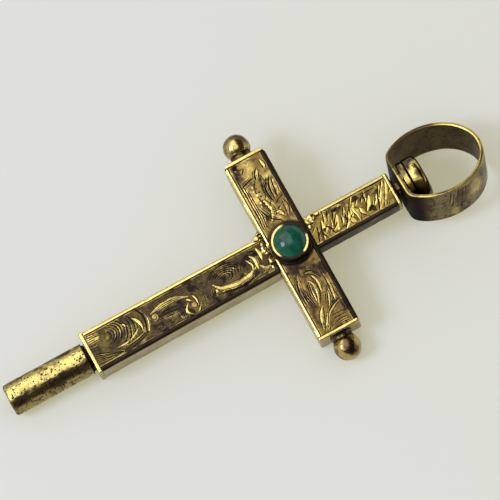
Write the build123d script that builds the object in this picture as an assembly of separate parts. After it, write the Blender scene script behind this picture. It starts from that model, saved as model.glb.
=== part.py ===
from build123d import *
import os
from math import asin, cos, radians, sin, sqrt, tan

# A watch key in the form of a cross, in millimetres. Two boxed arms and a boxed cross bar are
# soldered together, a winding pipe stands out of the long arm, and a bow turns on a post at the
# other end. +X runs from the pipe's mouth to the bow, +Y along the cross bar, and +Z out of the
# engraved face. The origin is on the pipe's axis, in the plane of its mouth.

# Fits
solder_film = 0.02      # between soldered pieces, where one lies inside the other
running_gap = 0.05      # between the bow's hole and the post, on the radius
end_float = 0.05        # between the bow's band and the piece on each side of it
overrun = 0.5           # how far a cut runs past the metal

# Sheet that the boxes are made of
wall = 0.42             # backs and sides
face_sheet = 0.4        # engraved faces
face_recess = 0.04      # how far a face lies below the rims of its box
end_sheet = 0.4         # plates that close the ends
edge_round = 0.2        # long outer edges of the boxes
end_round = 0.18        # outer edges of the end plates

# Winding pipe
pipe_radius = 1.65
pipe_length = 8.6       # from the mouth to the neck
mouth_round = 0.3
socket_side = 1.5       # square that takes the winding arbor
socket_depth = 6.0
socket_lead = 0.12      # bevel round the socket's mouth
neck_radius = 1.42
neck_length = 0.25
spigot_radius = 0.85    # tail of the pipe, held inside the arm
spigot_hold = 3.2       # length of the block that holds the tail

# Long arm
lower_arm_length = 19.9     # with its end plate
lower_width_pipe_end = 4.36
lower_width_bar_end = 4.12
lower_height = 3.4
end_plate_lip = 0.07        # how far the end plate stands proud of the box

# Cross bar
bar_width = 4.42
bar_length = 19.7           # with its end plates
bar_height = 3.4
bar_corner = 0.75           # the bar's two corners at its left end, seen from above

# Short arm
upper_arm_length = 9.1      # with its end plug
upper_width = 3.5
upper_height = 2.6

# Finials
collar_base_radius = 1.2
collar_waist_radius = 1.06
collar_top_radius = 1.12
collar_length = 0.55
ball_radius = 1.38

# Stone and its collet
collet_foot_radius = 2.15
collet_foot_sheet = 0.22
collet_rim_radius = 1.92
collet_wall = 0.3
collet_lip = 0.08           # how far the wall stands above the stone's girdle
collet_round = 0.1          # outer edge of the rim
bearer_height = 0.4
bearer_wall = 0.35
stone_girdle = 0.38         # straight side of the stone
stone_rise = 0.75           # dome above the girdle

# Swivel
post_radius = 0.6
post_hold = 2.6             # length of the block that holds the post
shoulder_radius = 1.15
shoulder_length = 0.2
washer_radius = 2.25
washer_length = 0.62
washer_round = 0.12
head_radius = 2.3
head_length = 1.53
head_crown = 0.13           # how far the middle of the head stands above its edge
head_edge = 0.6             # soft outer edge of the head
head_foot_round = 0.1
post_in_head = 0.7

# Bow
bow_reach = 5.04            # from its centre to its far end
bow_half_height = 4.32      # from its centre to each side
bow_thickness = 0.46
bow_width = 4.1
bow_flat = 3.98             # from the bow's centre to the outside of its flat
bow_corner = 1.3            # where the flat turns into the round
bow_edge_round = 0.15
bow_turn = 22.0             # degrees that the bow is turned about the key's axis, at rest
bow_lean = 7.0              # degrees that the bow leans on its post, which is worn loose

# Places along the key
arm_start = pipe_length + neck_length
bar_near = arm_start + lower_arm_length
bar_mid = bar_near + bar_width / 2
bar_far = bar_near + bar_width
arm_end = bar_far + upper_arm_length

# How far the leaning band reaches towards the key and away from it, beside what it must clear
lean_slope = tan(radians(bow_lean))
towards_shoulder = shoulder_length + shoulder_radius * lean_slope
towards_arm = bow_width / 2 * sin(radians(bow_lean))
towards_washer = min(washer_radius, bow_width / 2) * lean_slope

# Along the post: the band's two faces, then the washer and the head
band_near = arm_end + max(towards_shoulder, towards_arm) + end_float
band_far = band_near + bow_thickness / cos(radians(bow_lean))
washer_start = band_far + towards_washer + end_float
head_start = washer_start + washer_length


def strip(near, far, near_width, far_width, inset=0, past=0):
    """A tapering strip seen from above, drawn in at both sides and run past both ends."""
    slope = (far_width - near_width) / (far - near)
    low, high = near - past, far + past
    low_half = (near_width - slope * past) / 2 - inset
    high_half = (far_width + slope * past) / 2 - inset
    corners = [(low, -low_half), (high, -high_half), (high, high_half), (low, low_half)]
    return Polygon(*corners, align=None)


def channel(near, far, near_width, far_width, height):
    """The back and sides of a box, open at the front and at both ends."""
    block = extrude(Plane.XY.offset(-height / 2) * strip(near, far, near_width, far_width), amount=height)
    block = fillet(block.edges().group_by(Axis.X)[1], edge_round)
    inside = strip(near, far, near_width, far_width, inset=wall, past=overrun)
    return block - extrude(Plane.XY.offset(wall - height / 2) * inside, amount=height)


def face_plate(near, far, near_width, far_width, height):
    """The engraved plate, let in between the rims of a box."""
    outline = strip(near, far, near_width, far_width, inset=wall + solder_film)
    return extrude(Plane.XY.offset(height / 2 - face_recess - face_sheet) * outline, amount=face_sheet)


def bar_along(start, radius, length):
    """A round bar on the X axis."""
    return extrude(Plane.YZ.offset(start) * Circle(radius), amount=length)


def drill(piece, radius, start, length):
    """The piece with a hole on the X axis right through a stretch of it."""
    return piece - bar_along(start - overrun, radius, length + 2 * overrun)


def cross_plate(start, width, height, thickness, outer_side):
    """A plate square to the X axis, with its outer edges eased."""
    plate = extrude(Plane.YZ.offset(start) * Rectangle(width, height), amount=thickness)
    outer = plate.edges().group_by(Axis.X)[outer_side]
    corners = plate.edges().group_by(Axis.X)[1]
    return fillet(outer + corners, end_round)


def inner_block(start, length, width, height, hole_radius):
    """A block that fills the end of a box and holds a round tail."""
    low = wall - height / 2
    high = height / 2 - face_recess - face_sheet - solder_film
    middle = (low + high) / 2
    section = Pos(0, middle) * Rectangle(width - 2 * (wall + solder_film), high - low)
    block = extrude(Plane.YZ.offset(start) * section, amount=length)
    return drill(block, hole_radius, start, length)


def turned(*edges):
    """A solid turned about the X axis, from the edges of its half outline."""
    return revolve(make_face(Curve() + list(edges)), Axis.X)


def cap_arc(start, radius, rise):
    """The arc of a round cap, from its edge to its top on the X axis."""
    sphere = (radius**2 + rise**2) / (2 * rise)
    centre = start + rise - sphere
    half_way = asin(radius / sphere) / 2
    middle = (centre + sphere * cos(half_way), sphere * sin(half_way))
    return ThreePointArc((start, radius), middle, (start + rise, 0))


def winding_pipe():
    """The pipe with its square socket, its neck and the tail that the arm holds."""
    pipe = bar_along(0, pipe_radius, pipe_length)
    pipe = fillet(pipe.edges().sort_by(Axis.X)[0], mouth_round)
    socket = Rectangle(socket_side, socket_side)
    pipe -= extrude(Plane.YZ.offset(-overrun) * socket, amount=socket_depth + overrun)
    mouth = pipe.edges().filter_by(GeomType.LINE).group_by(Axis.X)[0]
    pipe = chamfer(mouth, socket_lead)
    pipe += bar_along(pipe_length, neck_radius, neck_length)
    return pipe + bar_along(arm_start, spigot_radius, end_sheet + spigot_hold)


def lower_arm_end_plate():
    """The plate that the pipe's neck stands against."""
    width = lower_width_pipe_end + 2 * end_plate_lip
    height = lower_height + 2 * end_plate_lip
    plate = cross_plate(arm_start, width, height, end_sheet, 0)
    return drill(plate, spigot_radius + solder_film, arm_start, end_sheet)


def lower_arm_width(x):
    """The long arm's width at a distance along the key."""
    share = (x - arm_start - end_sheet) / (bar_near - arm_start - end_sheet)
    return lower_width_pipe_end + (lower_width_bar_end - lower_width_pipe_end) * share


def spigot_block():
    """The block inside the long arm, as wide as the arm is at its narrower end."""
    start = arm_start + end_sheet
    width = lower_arm_width(start + spigot_hold)
    return inner_block(start, spigot_hold, width, lower_height, spigot_radius + solder_film)


def upper_arm_end_plug():
    """The plate that closes the short arm, with the hole for the post."""
    plate = cross_plate(arm_end - end_sheet, upper_width, upper_height, end_sheet, -1)
    return drill(plate, post_radius + solder_film, arm_end - end_sheet, end_sheet)


def left_end_rounded(piece):
    """A piece of the bar without what the rounding of its two left corners takes away."""
    reach = bar_corner + overrun
    for side in (1, -1):
        square = Pos(reach / 2, side * reach / 2) * Rectangle(reach, reach)
        centre = Pos(bar_length / 2 - bar_corner, side * (bar_width / 2 - bar_corner))
        piece -= extrude(centre * (square - Circle(bar_corner)), amount=bar_height, both=True)
    return piece


def finial_collar():
    """The short waisted collar between the bar's end and the ball, at the +X end."""
    start, end = bar_length / 2, bar_length / 2 + collar_length
    waist = (start + collar_length / 2, collar_waist_radius)
    return turned(
        Line((start, 0), (start, collar_base_radius)),
        ThreePointArc((start, collar_base_radius), waist, (end, collar_top_radius)),
        Line((end, collar_top_radius), (end, 0)),
        Line((end, 0), (start, 0)),
    )


def finial_ball():
    """The ball, with a small flat where it stands on the collar."""
    seat = bar_length / 2 + collar_length
    centre = seat + sqrt(ball_radius**2 - collar_top_radius**2)
    tip = centre + ball_radius
    return turned(
        Line((seat, 0), (seat, collar_top_radius)),
        ThreePointArc((seat, collar_top_radius), (centre, ball_radius), (tip, 0)),
        Line((tip, 0), (seat, 0)),
    )


stone_radius = collet_rim_radius - collet_wall - solder_film
stone_floor = collet_foot_sheet + bearer_height
girdle_top = stone_floor + stone_girdle


def collet_foot():
    """The round foot that the collet's wall and the bearer stand on."""
    foot = bar_along(0, collet_foot_radius, collet_foot_sheet)
    return fillet(foot.edges().sort_by(Axis.X)[-1], collet_foot_sheet / 2)


def stone_reach(x):
    """The stone's radius at a height on its dome."""
    sphere = (stone_radius**2 + stone_rise**2) / (2 * stone_rise)
    centre = girdle_top + stone_rise - sphere
    return sqrt(sphere**2 - (x - centre)**2)


def collet_bezel():
    """The collet's wall, a little wider at the foot, with its lip set in over the stone."""
    start, top = collet_foot_sheet, girdle_top + collet_lip
    inner = stone_radius + solder_film
    lip = stone_reach(top) + solder_film
    base = (collet_foot_radius + collet_rim_radius) / 2
    swell = ((start + top) / 2, (base + 2 * collet_rim_radius) / 3)
    wall_edge = (top - collet_round, collet_rim_radius)
    rim_edge = (top, collet_rim_radius - collet_round)
    return turned(
        Line((start, inner), (start, base)),
        ThreePointArc((start, base), swell, wall_edge),
        Line(wall_edge, rim_edge),
        Line(rim_edge, (top, lip)),
        Line((top, lip), (girdle_top, inner)),
        Line((girdle_top, inner), (start, inner)),
    )


def stone_bearer():
    """The ring inside the collet that the stone stands on."""
    ring = bar_along(collet_foot_sheet, stone_radius, bearer_height)
    return drill(ring, stone_radius - bearer_wall, collet_foot_sheet, bearer_height)


def cabochon():
    """The stone: flat below, straight at its girdle and domed above."""
    return turned(
        Line((stone_floor, 0), (stone_floor, stone_radius)),
        Line((stone_floor, stone_radius), (girdle_top, stone_radius)),
        cap_arc(girdle_top, stone_radius, stone_rise),
        Line((girdle_top + stone_rise, 0), (stone_floor, 0)),
    )


def swivel_post():
    """The post that the bow turns on, from its block inside the arm to the head."""
    start = arm_end - end_sheet - post_hold
    return bar_along(start, post_radius, head_start + post_in_head - start)


def swivel_shoulder():
    """The small ring that holds the bow's band off the arm's end."""
    ring = bar_along(arm_end, shoulder_radius, shoulder_length)
    return drill(ring, post_radius + solder_film, arm_end, shoulder_length)


def swivel_washer():
    """The thick washer inside the bow."""
    ring = bar_along(washer_start, washer_radius, washer_length)
    ring = fillet(ring.edges().filter_by(GeomType.CIRCLE), washer_round)
    return drill(ring, post_radius + solder_film, washer_start, washer_length)


def swivel_head():
    """The button-shaped head on the post: a low crown with a soft edge."""
    edge = head_start + head_length - head_crown
    head = turned(
        Line((head_start, 0), (head_start, head_radius)),
        Line((head_start, head_radius), (edge, head_radius)),
        cap_arc(edge, head_radius, head_crown),
        Line((edge + head_crown, 0), (head_start, 0)),
    )
    rims = head.edges().sort_by(SortBy.LENGTH)[-2:].sort_by(Axis.X)
    head = fillet(rims[1], head_edge)
    foot = head.edges().filter_by(GeomType.CIRCLE).sort_by(Axis.X)[0]
    head = fillet(foot, head_foot_round)
    hole = bar_along(head_start - overrun, post_radius + solder_film, post_in_head + overrun)
    return head - hole


def bow_block(inset):
    """An oval block that a flat cuts off towards the key, with the two corners eased."""
    reach, flat = bow_reach - inset, bow_flat - inset
    oval = Ellipse(reach, bow_half_height - inset)
    oval -= Pos(-flat - reach, 0) * Rectangle(2 * reach, 2 * bow_half_height)
    block = extrude(oval, amount=bow_width / 2, both=True)
    corners = block.edges().filter_by(Axis.Z).group_by(Axis.X)[0]
    return fillet(corners, bow_corner - inset)


def bow_ring():
    """The flat band bent into the bow, leaning on the post that goes through its hole."""
    band = bow_block(0) - bow_block(bow_thickness)
    rims = band.edges().group_by(Axis.Z)
    band = fillet(rims[0] + rims[-1], bow_edge_round)
    band = Rot(-bow_turn, 0, 0) * Pos(band_near, 0, 0) * Rot(0, bow_lean, 0) * Pos(bow_flat, 0, 0) * band
    return drill(band, post_radius + running_gap, band_near, band_far - band_near)


lower_box = (arm_start + end_sheet, bar_near, lower_width_pipe_end, lower_width_bar_end, lower_height)
upper_box = (bar_far, arm_end - end_sheet, upper_width, upper_width, upper_height)
bar_box = (end_sheet - bar_length / 2, bar_length / 2 - end_sheet, bar_width, bar_width, bar_height)
bar_end = cross_plate(bar_length / 2 - end_sheet, bar_width, bar_height, end_sheet, -1)

to_left = Pos(bar_mid, 0, 0) * Rot(0, 0, 90)
to_right = Pos(bar_mid, 0, 0) * Rot(0, 0, -90)
on_face = Pos(bar_mid, 0, bar_height / 2) * Rot(0, -90, 0)

nodes = {
    "winding_pipe": winding_pipe(),
    "spigot_block": spigot_block(),
    "lower_arm_end_plate": lower_arm_end_plate(),
    "lower_arm_channel": channel(*lower_box),
    "lower_arm_face": face_plate(*lower_box),
    "crossbar_channel": to_left * left_end_rounded(channel(*bar_box)),
    "crossbar_face": to_left * face_plate(*bar_box),
    "collet_foot": on_face * collet_foot(),
    "collet_bezel": on_face * collet_bezel(),
    "stone_bearer": on_face * stone_bearer(),
    "cabochon": on_face * cabochon(),
    "upper_arm_channel": channel(*upper_box),
    "upper_arm_face": face_plate(*upper_box),
    "upper_arm_end_plug": upper_arm_end_plug(),
    "post_block": inner_block(
        arm_end - end_sheet - post_hold, post_hold, upper_width, upper_height, post_radius + solder_film
    ),
    "swivel_post": swivel_post(),
    "swivel_shoulder": swivel_shoulder(),
    "swivel_washer": swivel_washer(),
    "swivel_head": swivel_head(),
    "bow_ring": bow_ring(),
}
nodes["crossbar_end_left"] = to_left * left_end_rounded(bar_end)
nodes["crossbar_end_right"] = to_right * bar_end
for side, place in {"left": to_left, "right": to_right}.items():
    nodes[f"finial_collar_{side}"] = place * finial_collar()
    nodes[f"finial_ball_{side}"] = place * finial_ball()

os.makedirs("parts", exist_ok=True)
for name, solid in nodes.items():
    export_step(solid, f"parts/{name}.step")
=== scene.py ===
"""The looks of an old gilt watch key in the form of a cross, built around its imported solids.

Lengths are in millimetres until a mesh is made, in the key's own frame: +X from the pipe's mouth to
the bow, +Y along the cross bar, +Z out of the engraved faces. Objects are in metres."""

import math

import bmesh
import bpy
import numpy as np
from mathutils import Matrix, Vector


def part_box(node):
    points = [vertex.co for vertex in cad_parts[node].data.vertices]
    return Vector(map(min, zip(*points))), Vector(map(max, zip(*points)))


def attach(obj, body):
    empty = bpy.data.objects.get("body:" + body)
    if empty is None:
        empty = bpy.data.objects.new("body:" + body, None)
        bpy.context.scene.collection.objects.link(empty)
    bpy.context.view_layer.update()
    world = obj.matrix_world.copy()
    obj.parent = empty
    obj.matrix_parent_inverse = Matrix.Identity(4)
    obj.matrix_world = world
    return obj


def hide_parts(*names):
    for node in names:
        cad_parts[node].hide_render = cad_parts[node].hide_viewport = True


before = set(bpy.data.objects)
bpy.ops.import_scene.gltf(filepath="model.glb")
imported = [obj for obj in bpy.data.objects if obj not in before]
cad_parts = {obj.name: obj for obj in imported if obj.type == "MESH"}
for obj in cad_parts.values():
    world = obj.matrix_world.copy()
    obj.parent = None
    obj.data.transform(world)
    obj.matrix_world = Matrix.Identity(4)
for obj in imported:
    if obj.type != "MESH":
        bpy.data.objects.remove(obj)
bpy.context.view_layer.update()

MM = 0.001

# Camera: from where it looks, at what, and how far the picture is turned
camera_back = Vector((-0.0352, -0.2207, 0.9747))
camera_aim = Vector((27.3, 1.71, 0))
camera_distance = 470.6
camera_roll = math.radians(28.7)
camera_lens = 352.0
film_width = 36.0

# How the bow stands: turned about the key's axis, leaning on its post, and its centre's distance from it
bow_turn = math.radians(22)
bow_lean = math.radians(7)
bow_reach_to_hole = 3.75
band_reach, band_half_height = 4.81, 4.09    # the oval down the middle of the band's thickness


def node_box(name):
    """A CAD node's lowest and highest corners, in millimetres."""
    low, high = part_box(name)
    return np.array(low) / MM, np.array(high) / MM


def half_width(node, x):
    """Half of a CAD node's width at a place along the key."""
    spots = np.array([vertex.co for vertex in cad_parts[node].data.vertices]) / MM
    return spots[abs(spots[:, 0] - x) < 0.05, 1].max()


# Noise


def unit(values):
    """The values, held between 0 and 1."""
    return np.clip(values, 0, 1)


def lattice(cells, seed):
    """A fixed random value from -1 to 1 for each whole-numbered cell corner."""
    first, second, third = np.moveaxis(cells, -1, 0)
    mixed = (first * 73856093) ^ (second * 19349663) ^ (third * 83492791) ^ (seed * 2654435)
    mixed = (mixed ^ (mixed >> 13)) * 1274126177 & 0x7FFFFFFF
    mixed = (mixed ^ (mixed >> 15)) * 668265263 & 0x7FFFFFFF
    return (mixed >> 7 & 0xFFFF) / 32767.5 - 1


def ripple(points, cell, seed):
    """Smooth noise from -1 to 1, with bumps about one cell across."""
    scaled = np.asarray(points, float) / cell
    corner = np.floor(scaled).astype(np.int64)
    part = scaled - corner
    part = part * part * (3 - 2 * part)
    total = 0
    for step in np.ndindex(2, 2, 2):
        weight = np.prod(np.where(step, part, 1 - part), axis=-1)
        total = total + weight * lattice(corner + np.array(step), seed)
    return total


# Meshes


def relief(points, edges, normals, rounds):
    """How far each point stands out of the surface smoothed around it, in millimetres."""
    first, second = edges.T
    count = len(points)
    degree = np.bincount(edges.ravel(), minlength=count)
    smooth = points.copy()
    for _ in range(rounds):
        pulled = [
            np.bincount(first, smooth[second, k], count) + np.bincount(second, smooth[first, k], count)
            for k in range(3)
        ]
        smooth = (smooth + np.stack(pulled, 1) / degree[:, None]) / 2
    return ((points - smooth) * normals).sum(1)


def read_rows(rows, field, width, kind=float):
    """One field of each item of a mesh, as the rows of an array."""
    flat = np.zeros(len(rows) * width, kind)
    rows.foreach_get(field, flat)
    return flat.reshape(-1, width)


def mesh_points(mesh):
    """The vertices of a mesh, in millimetres, and their normals."""
    return read_rows(mesh.vertices, "co", 3) / MM, read_rows(mesh.vertex_normals, "vector", 3)


def set_points(mesh, points):
    mesh.vertices.foreach_set("co", (points * MM).ravel())
    mesh.update()


def paint(mesh, name, values):
    """Stores one number per vertex, for the materials."""
    layer = mesh.attributes.new(name, "FLOAT", "POINT")
    layer.data.foreach_set("value", unit(values).astype(np.float32))


def paint_relief(mesh, rounds, full):
    """Stores where the surface is an edge and where it is a hollow; full is the height for 1."""
    points, normals = mesh_points(mesh)
    height = relief(points, read_rows(mesh.edges, "vertices", 2, np.int32), normals, rounds)
    paint(mesh, "edge", height / full)
    paint(mesh, "hollow", -height / full)


def stand(name, data, place=None):
    """Puts a mesh, a lamp or the camera into the scene, and where a matrix says, if one does."""
    made = bpy.data.objects.new(name, data)
    bpy.context.scene.collection.objects.link(made)
    if place:
        made.matrix_world = place
    return made


def give_material(mesh, material):
    mesh.materials.clear()
    mesh.materials.append(material)


def as_piece(name, mesh, slot, nodes, body="key", sharp=50):
    """Puts a finished mesh on its body, in place of the CAD nodes that it stands for."""
    mesh.shade_smooth()
    mesh.set_sharp_from_angle(angle=math.radians(sharp))
    give_material(mesh, looks[slot])
    piece = stand(name, mesh)
    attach(piece, body)
    if nodes:
        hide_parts(*nodes)


def build_mesh(name, points, faces):
    mesh = bpy.data.meshes.new(name)
    mesh.from_pydata((np.asarray(points) * MM).tolist(), [], faces)
    mesh.validate()
    mesh.update()
    return mesh


def fine_copy(mesh, voxel, smooth_rounds=1):
    """A dense even copy of a mesh, its sharp edges a little eased."""
    source = stand("source", mesh.copy())
    weld = source.modifiers.new("weld", "WELD")
    weld.merge_threshold = 0.002 * MM
    remesh = source.modifiers.new("remesh", "REMESH")
    remesh.mode = "VOXEL"
    remesh.voxel_size = voxel * MM
    ease = source.modifiers.new("ease", "SMOOTH")
    ease.factor = 0.5
    ease.iterations = smooth_rounds
    evaluated = source.evaluated_get(bpy.context.evaluated_depsgraph_get())
    mesh = bpy.data.meshes.new_from_object(evaluated)
    bpy.data.objects.remove(source)
    return mesh


def worn_piece(node, voxel, slot, wear, body="key", gild=None, dirt=None, ease=1):
    """A CAD node as worn metal, with a mesh as fine as voxel: wear gives how far the surface goes in, in
    millimetres, and the gilding and darkening layers how bright or dark it is: worn gold and painted
    highlight, grime and painted shade."""
    mesh = fine_copy(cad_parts[node].data, voxel, ease)
    points, normals = mesh_points(mesh)
    set_points(mesh, points - normals * wear(points)[:, None])
    paint_relief(mesh, rounds=8, full=0.012)
    for layer, shares in (("gild", gild), ("dirt", dirt)):
        if shares:
            paint(mesh, layer, shares(points))
    as_piece(f"{node}_metal", mesh, slot, [node], body, sharp=70)


def soft_wear(deep, cell, seed):
    """Slight waves left by filing and years of wear."""
    def wear(points):
        broad = ripple(points, cell, seed) * 0.6
        fine = ripple(points, cell / 3, seed + 1) * 0.3
        return deep * (0.9 + broad + fine)
    return wear


def ramp(values, low, high):
    """0 at low and 1 at high, with a soft start and end."""
    share = unit((np.asarray(values, float) - low) / (high - low))
    return share * share * (3 - 2 * share)


# Materials


class Wiring:
    """A short way to build the nodes of a material or of the world."""

    def __init__(self, owner):
        self.owner = owner
        owner.use_nodes = True
        self.tree = owner.node_tree
        self.tree.nodes.clear()

    def add(self, kind, inputs=None, **settings):
        made = self.tree.nodes.new(kind)
        for key, value in settings.items():
            setattr(made, key, value)
        for key, value in (inputs or {}).items():
            self.feed(made.inputs[key], value)
        return made

    def feed(self, socket, value):
        if isinstance(value, bpy.types.NodeSocket):
            self.tree.links.new(value, socket)
        elif isinstance(value, tuple) and socket.type == "RGBA":
            socket.default_value = (*value, 1) if len(value) == 3 else value
        else:
            socket.default_value = value

    def painted(self, name):
        return self.add("ShaderNodeAttribute", attribute_name=name).outputs["Fac"]

    def noise(self, size, detail, rough, stretch=(1, 1, 1), turn=(0, 0, 0)):
        """Noise with bumps about size millimetres across, stretched along the axes."""
        place = self.add("ShaderNodeTexCoord").outputs["Object"]
        where = self.add("ShaderNodeMapping", {"Vector": place, "Scale": stretch, "Rotation": turn})
        made = self.add("ShaderNodeTexNoise", {
            "Vector": where.outputs[0], "Scale": 1 / (size * MM), "Detail": detail, "Roughness": rough})
        return made.outputs["Fac"]

    def spread(self, value, low, high, first=0.0, last=1.0):
        """The value from low to high, mapped smoothly to first..last."""
        made = self.add("ShaderNodeMapRange", {
            "Value": value, "From Min": low, "From Max": high, "To Min": first, "To Max": last})
        made.interpolation_type = "SMOOTHSTEP"
        return made.outputs[0]

    def maths(self, operation, first, second):
        return self.add("ShaderNodeMath", {0: first, 1: second}, operation=operation).outputs[0]

    def times(self, first, second):
        return self.maths("MULTIPLY", first, second)

    def plus(self, first, second):
        return self.maths("ADD", first, second)

    def mix(self, share, first, second):
        return self.add("ShaderNodeMix", {0: share, 6: first, 7: second}, data_type="RGBA").outputs[2]

    def join(self, share, first, second):
        """A shader that is the first where the share is 0 and the second where it is 1."""
        return self.add("ShaderNodeMixShader", {0: share, 1: first, 2: second}).outputs[0]

    def shown(self):
        """1 where the camera sees the surface, also in a mirror or through glass, and 0 where it only
        lights something."""
        path = self.add("ShaderNodeLightPath").outputs
        either = self.maths("MAXIMUM", path["Is Camera Ray"], path["Is Glossy Ray"])
        return self.maths("MAXIMUM", either, path["Is Transmission Ray"])

    def finish(self, color, rough, height, bump, **plain):
        lift = self.add("ShaderNodeBump", {"Height": height, "Strength": 1.0, "Distance": bump * MM})
        shader = self.add("ShaderNodeBsdfPrincipled", {
            "Base Color": color, "Roughness": rough, "Normal": lift.outputs[0], **plain})
        self.add("ShaderNodeOutputMaterial", {"Surface": shader.outputs[0]})
        return self.owner


GOLD = (0.73, 0.56, 0.17)
OLIVE = (0.34, 0.28, 0.12)
BEIGE = (0.42, 0.337, 0.142)
BROWN = (0.062, 0.043, 0.027)
BLACKENED = (0.018, 0.012, 0.012)
COPPER = (0.45, 0.26, 0.065)
CREAM_HIGHLIGHT = (0.90, 0.76, 0.36)


def worn_gilt(name, flat=OLIVE, patch=BROWN, gold=GOLD, patches=1.2, dull=0.5, rough=0.28, bump=0.006,
              along=(1, 1, 1), turn=(0, 0, 0), cream=0.3):
    """Old gilt brass: dull flats with browner patches; gold where it is cut or worn bright and where a
    highlight is painted, here and there as pale as cream in painted highlight streaks; and brown to black in
    the hollows, in grime and where shade is painted. The patches' size and the bump's height are in
    millimetres; dull is how far the patches spread, along and turn lay the fine lines, and cream is how much
    of the gold is streaked with painted highlight."""
    w = Wiring(bpy.data.materials.new(name))
    broad = w.noise(patches, 6.0, 0.7)
    small = w.noise(patches / 6, 5.0, 0.7)
    grain = w.noise(0.06, 2.0, 0.6)
    lines = w.noise(0.35, 3.0, 0.65, stretch=along, turn=turn)
    both = w.plus(w.times(broad, 0.5), w.times(small, 0.5))
    color = w.mix(w.spread(both, 0.6 - dull * 0.3, 0.72 - dull * 0.3), flat, patch)
    color = w.mix(w.spread(lines, 0.5, 0.75, 0.0, 0.5), color, patch)
    rich = w.mix(w.spread(small, 0.35, 0.65), gold, tuple(0.75 * part for part in gold))
    # cream streaks in the gold: painted highlight
    rich = w.mix(w.times(w.spread(w.noise(0.3, 2.0, 0.6), 0.52, 0.68), cream), rich, CREAM_HIGHLIGHT)
    # gold where the painted gilding layer says: worn gold, and painted highlight on the lit sides of cuts and
    # rims
    gild = w.times(w.spread(w.painted("gild"), 0.05, 0.8), w.spread(small, 0.2, 0.42, 0.45, 1.0))
    color = w.mix(gild, color, rich)
    color = w.mix(w.times(w.painted("warm"), 0.6), color, COPPER)
    edge = w.times(w.spread(w.painted("edge"), 0.25, 1.0, 0.0, 0.45), w.spread(small, 0.3, 0.55))
    color = w.mix(edge, color, GOLD)
    specks = w.spread(w.noise(0.14, 2.0, 0.7), 0.62, 0.70)
    color = w.mix(w.times(specks, 0.55), color, BROWN)
    # brown to black in the hollows and where the painted layer says: grime, and painted shade on sides away
    # from the light
    dirty = w.maths("MAXIMUM", w.spread(w.painted("hollow"), 0.05, 0.7), w.painted("dirt"))
    color = w.mix(w.spread(dirty, 0.1, 0.75), color, BROWN)
    color = w.mix(w.spread(dirty, 0.65, 1.0), color, BLACKENED)
    polish = w.spread(broad, 0.3, 0.7, rough - 0.07, rough + 0.1)
    roughness = w.plus(polish, w.spread(dirty, 0.2, 0.9, 0.0, 0.3))
    height = w.plus(w.times(grain, 0.4), w.times(lines, 0.6))
    return w.finish(color, roughness, height, bump, Metallic=1.0)


def green_stone():
    """A deep green stone with faint clouds, polished."""
    w = Wiring(bpy.data.materials.new("green_stone_looks"))
    cloud = w.noise(0.9, 4.0, 0.6)
    veins = w.spread(w.noise(0.35, 3.0, 0.7), 0.55, 0.7)
    color = w.mix(w.spread(cloud, 0.35, 0.65), (0.005, 0.07, 0.044), (0.016, 0.13, 0.08))
    color = w.mix(w.times(veins, 0.35), color, (0.003, 0.035, 0.025))
    rough = w.spread(cloud, 0.3, 0.7, 0.08, 0.14)
    plain = {"IOR": 1.5, "Specular IOR Level": 0.32, "Subsurface Weight": 0.15, "Subsurface Scale": 0.4 * MM}
    return w.finish(color, rough, cloud, 0.004, **plain)


DARK_GOLD = (0.50, 0.39, 0.13)
BRONZE = (0.23, 0.175, 0.09)
MOUTH_BROWN = (0.14, 0.10, 0.06)

# How each slot's metal differs from the usual old gilt
gilts = {
    "engraved_gilt": dict(flat=(0.094, 0.074, 0.02), patch=(0.045, 0.03, 0.016), gold=(0.63, 0.475, 0.13),
                          dull=0.6, patches=1.4, bump=0.012, cream=0.7),
    "bright_cut_gilt": dict(flat=(0.19, 0.142, 0.032), patch=(0.095, 0.065, 0.022), gold=(0.70, 0.525, 0.125),
                            patches=0.9, bump=0.02, cream=0.7),
    "box_gilt": dict(flat=BEIGE, patch=(0.32, 0.25, 0.098), patches=2.2, rough=0.24, along=(0.3, 3, 3),
                     cream=0.9),
    "pipe_metal": dict(flat=DARK_GOLD, patch=MOUTH_BROWN, gold=(0.65, 0.51, 0.165), patches=0.8, rough=0.24),
    "finial_gilt": dict(flat=(0.24, 0.18, 0.075), gold=(0.56, 0.42, 0.155), patches=1.0, rough=0.22),
    "collet_gilt": dict(flat=(0.30, 0.24, 0.11), patches=1.0, rough=0.22),
    "swivel_gilt": dict(flat=(0.14, 0.108, 0.045), patches=0.9, rough=0.13),
    "bow_bronze": dict(flat=BRONZE, patches=2.0, rough=0.3, along=(3, 0.4, 3), turn=(bow_turn, 0, 0)),
    "inner_brass": dict(patches=1.0, rough=0.4),
}
looks = {slot: worn_gilt(f"{slot}_looks", **mixture) for slot, mixture in gilts.items()}
looks["green_stone"] = green_stone()


# Engraving


def smooth_path(points):
    """A curve through the points, as closely spaced spots."""
    step = 0.03    # millimetres at most
    points = np.asarray(points, float)
    ends = [2 * points[0] - points[1], *points, 2 * points[-1] - points[-2]]
    spots = []
    for before, first, second, after in zip(ends, ends[1:], ends[2:], ends[3:]):
        count = max(2, math.ceil(np.linalg.norm(second - first) / step))
        u = np.linspace(0, 1, count, endpoint=False)[:, None]
        square = 2 * before - 5 * first + 4 * second - after
        cube = 3 * first - before - 3 * second + after
        spots.append(0.5 * (2 * first + (second - before) * u + square * u**2 + cube * u**3))
    return np.vstack([*spots, points[-1:]])


def left_of(path):
    """Unit vectors square to a path, on its left."""
    run = np.gradient(path, axis=0)
    return np.stack([-run[:, 1], run[:, 0]], 1) / np.hypot(*run.T)[:, None]


def spiral(centre, outer, inner, start, turn, squash=0.75, count=14):
    """Points of a spiral, flattened across the plate; start and turn are in degrees."""
    shares = np.linspace(0, 1, count)
    radius = outer + (inner - outer) * shares
    angle = np.radians(start + turn * shares)
    return np.stack([centre[0] + radius * np.cos(angle), centre[1] + squash * radius * np.sin(angle)], 1)


EVERYWHERE = slice(None)    # the whole of a layer


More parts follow.
